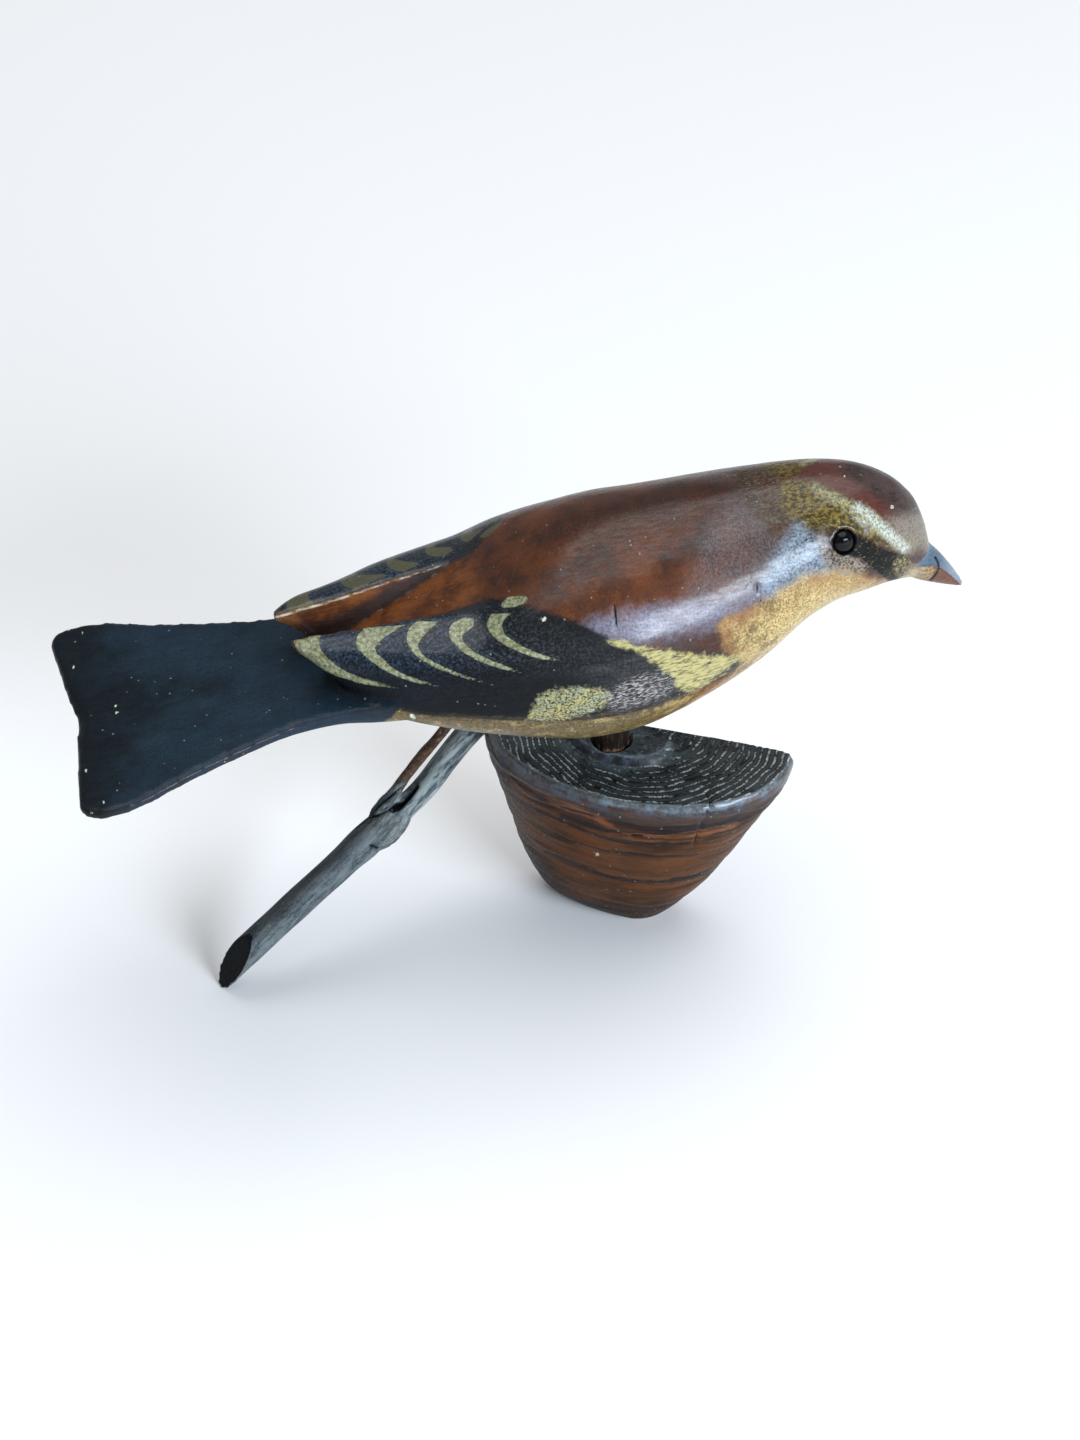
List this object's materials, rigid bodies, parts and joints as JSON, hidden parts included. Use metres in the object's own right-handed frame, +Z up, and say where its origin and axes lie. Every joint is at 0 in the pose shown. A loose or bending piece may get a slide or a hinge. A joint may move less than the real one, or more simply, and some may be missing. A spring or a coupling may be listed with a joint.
{
  "type": "carved chaffinch",
  "caption": "Life-size carved and painted songbird on a short peg over a half-round ringed perch, steadied by a forked twig.",
  "frame": {"origin": "a point near the middle of the perch's flat foot, on the ground and in the bird's middle plane", "axes": "+X the way the bird faces, +Y the bird's left side, +Z up"},
  "size_m": [0.147, 0.0448, 0.088],
  "materials": {
    "painted_wood": "hand-painted in reddish brown, blue-black, cream and gold-olive under an old satin varnish",
    "eye": "glossy black bead",
    "dark_wood": "dark red-brown, dull",
    "ringed_wood": "weathered rings above, red-brown and grey-blue bands on the sides, worn satin",
    "bark": "grey-blue smooth bark, matt"
  },
  "bodies": {
    "root": {"bird": "painted_wood", "eye_right": "eye", "eye_left": "eye", "peg": "dark_wood", "perch": "ringed_wood", "twig": "bark"}
  },
  "joints": []
}
